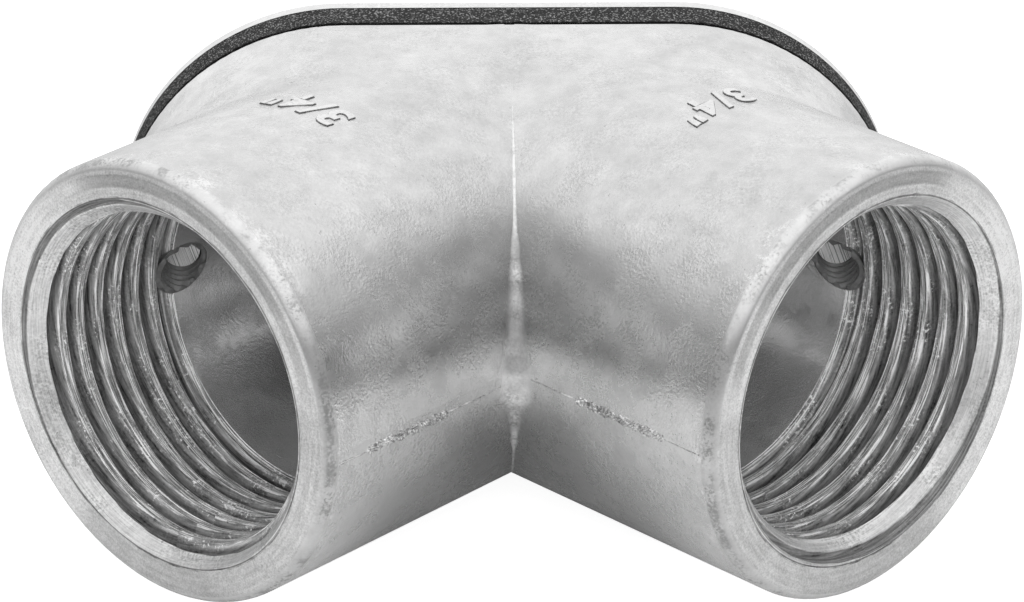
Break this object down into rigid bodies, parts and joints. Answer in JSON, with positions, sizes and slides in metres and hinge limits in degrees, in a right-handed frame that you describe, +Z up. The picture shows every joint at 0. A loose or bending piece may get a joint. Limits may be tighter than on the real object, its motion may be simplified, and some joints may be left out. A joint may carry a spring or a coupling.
{
  "type": "conduit pull elbow",
  "caption": "Die-cast right-angle conduit elbow with threaded mouths and a gasketed screw-on cover over the outer corner for pulling wires through.",
  "frame": {"origin": "middle of the part's box, on the surface it lies on; the arm axes meet 14.9 mm behind it (+Y) and 16.4 mm above it", "axes": "+X to the right seen from the mouths, +Y out of the cover, +Z up; the mouths open towards -X-Y and +X-Y"},
  "size_m": [0.0722, 0.0426, 0.0328],
  "materials": {
    "cast_body": "satin as-cast zinc alloy",
    "gasket_rubber": "matt speckled sheet rubber",
    "cover_sheet": "satin plated sheet",
    "screw_steel": "plated steel"
  },
  "bodies": {
    "elbow": {"elbow_body": "cast_body"},
    "cover": {"cover_plate": "cover_sheet", "cover_gasket": "gasket_rubber"},
    "left_screw": {"left_cover_screw": "screw_steel"},
    "right_screw": {"right_cover_screw": "screw_steel"}
  },
  "joints": [
    {"name": "cover_lift", "type": "slide", "parent": "elbow", "child": "cover", "axis": [0, 1, 0], "range_m": [0, 0.00635]},
    {"name": "left_screw_turn", "type": "hinge", "parent": "cover", "child": "left_screw", "pos_m": [-0.0234, 0.01917, 0.0164], "axis": [0, 1, 0], "range_deg": [0, 2880]},
    {"name": "right_screw_turn", "type": "hinge", "parent": "cover", "child": "right_screw", "pos_m": [0.0234, 0.01917, 0.0164], "axis": [0, 1, 0], "range_deg": [0, 2880]}
  ],
  "couplings": [
    {"joint": "left_screw_turn", "follows": "cover_lift", "rad_per_m": 7915.8},
    {"joint": "right_screw_turn", "follows": "cover_lift", "rad_per_m": 7915.8}
  ]
}
